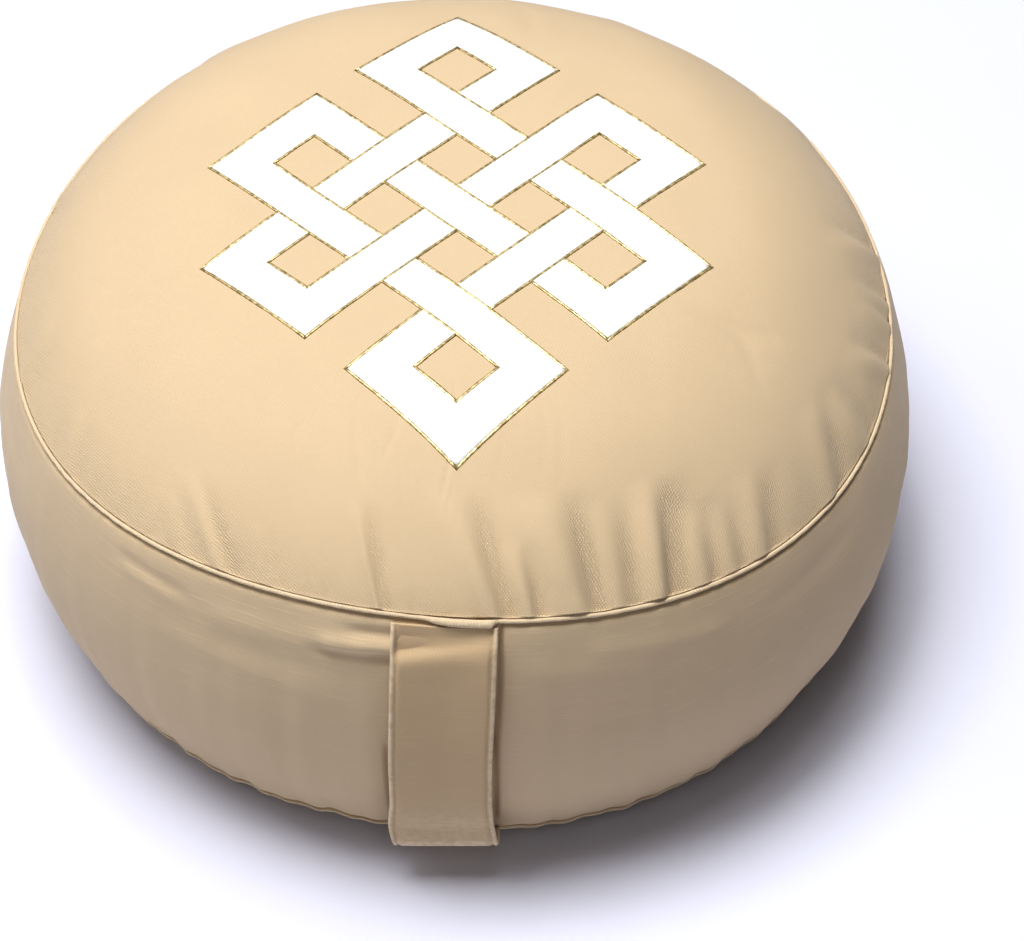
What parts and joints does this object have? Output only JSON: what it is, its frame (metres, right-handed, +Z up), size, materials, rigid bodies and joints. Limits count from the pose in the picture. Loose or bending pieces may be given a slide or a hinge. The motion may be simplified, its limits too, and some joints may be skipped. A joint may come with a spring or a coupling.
{
  "type": "round zafu meditation cushion",
  "caption": "Round boxed meditation cushion of cotton twill, crowned top with an endless knot, piped seams and a carrying strap at the front.",
  "frame": {"origin": "middle of the flat foot, on the floor that the cushion stands on", "axes": "+Z up through the crown, -Y towards the carrying strap, +X to the right as seen from the strap's side"},
  "size_m": [0.3295, 0.3391, 0.1706],
  "materials": {
    "twill": "matt beige cotton twill",
    "piping_twill": "matt beige cotton twill, cut on the bias",
    "strap_twill": "matt beige cotton twill, doubled and edge stitched",
    "emblem_white": "smooth white ornament on the top panel",
    "emblem_gold": "glossy gold outline of the ornament",
    "sewing_thread": "beige sewing thread"
  },
  "bodies": {
    "root": {"cushion": "twill", "top_piping": "piping_twill", "bottom_piping": "piping_twill", "carry_strap": "strap_twill"}
  },
  "joints": []
}
